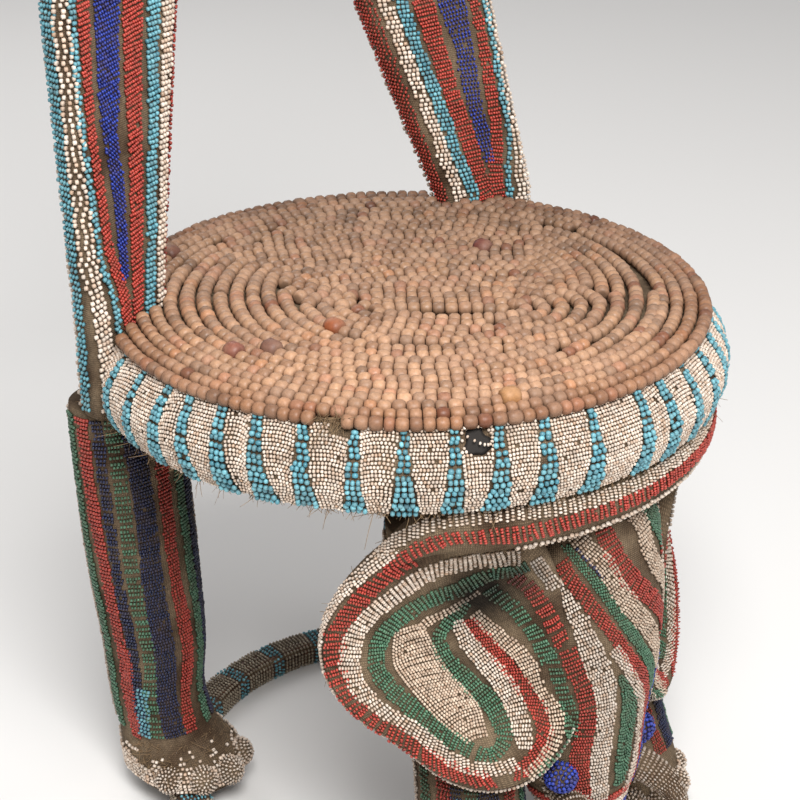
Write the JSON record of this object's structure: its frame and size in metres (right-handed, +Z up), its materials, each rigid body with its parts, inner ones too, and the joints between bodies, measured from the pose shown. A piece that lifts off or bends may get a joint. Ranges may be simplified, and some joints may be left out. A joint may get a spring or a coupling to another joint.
{
  "type": "beaded throne",
  "caption": "Round beaded seat carried by a standing elephant on a floor ring, with two broad uprights that lean back and join in a rounded crest.",
  "frame": {"origin": "on the floor, under the middle of the seat", "axes": "+Z up, the sitter faces -Y, +X to the right when seen from the front side looking back"},
  "size_m": [0.493, 0.5082, 0.9529],
  "materials": {
    "carved_wood": "dry carved wood",
    "cover_cloth": "coarse brown cloth",
    "seat_wood_beads": "worn turned beads",
    "white_glass_beads": "opaque glass seed beads",
    "turquoise_glass_beads": "opaque glass beads",
    "blue_glass_beads": "opaque glass beads",
    "beaded_ring": "wood covered with cloth and strings of beads",
    "beaded_leg": "wood covered with cloth and strings of beads",
    "beaded_body": "wood covered with cloth and strings of beads",
    "beaded_head": "wood covered with cloth and strings of beads",
    "beaded_ear": "wood covered with cloth and strings of beads",
    "beaded_back": "wood covered with cloth and strings of beads"
  },
  "bodies": {
    "root": {"base_ring": "beaded_ring", "ring_pegs": "carved_wood", "front_leg_left": "beaded_leg", "front_leg_right": "beaded_leg", "hind_leg_left": "beaded_leg", "hind_leg_right": "beaded_leg", "toenails": "white_glass_beads", "body": "beaded_body", "tail": "beaded_body", "head": "beaded_head", "trunk": "beaded_head", "brow_fold": "beaded_ear", "ear_left": "beaded_ear", "ear_right": "beaded_ear", "eyes": "blue_glass_beads", "tusk_left": "white_glass_beads", "tusk_right": "white_glass_beads", "seat_board": "carved_wood", "body_dowels": "carved_wood", "post_dowels": "carved_wood", "rim_cloth": "cover_cloth", "rim_white_panels": "white_glass_beads", "rim_turquoise_columns": "turquoise_glass_beads", "seat_cloth": "cover_cloth", "seat_bead_string": "seat_wood_beads", "edge_bead_rows": "seat_wood_beads", "upright_left": "beaded_back", "upright_right": "beaded_back", "crest": "beaded_back", "crest_dowels": "carved_wood"}
  },
  "joints": []
}
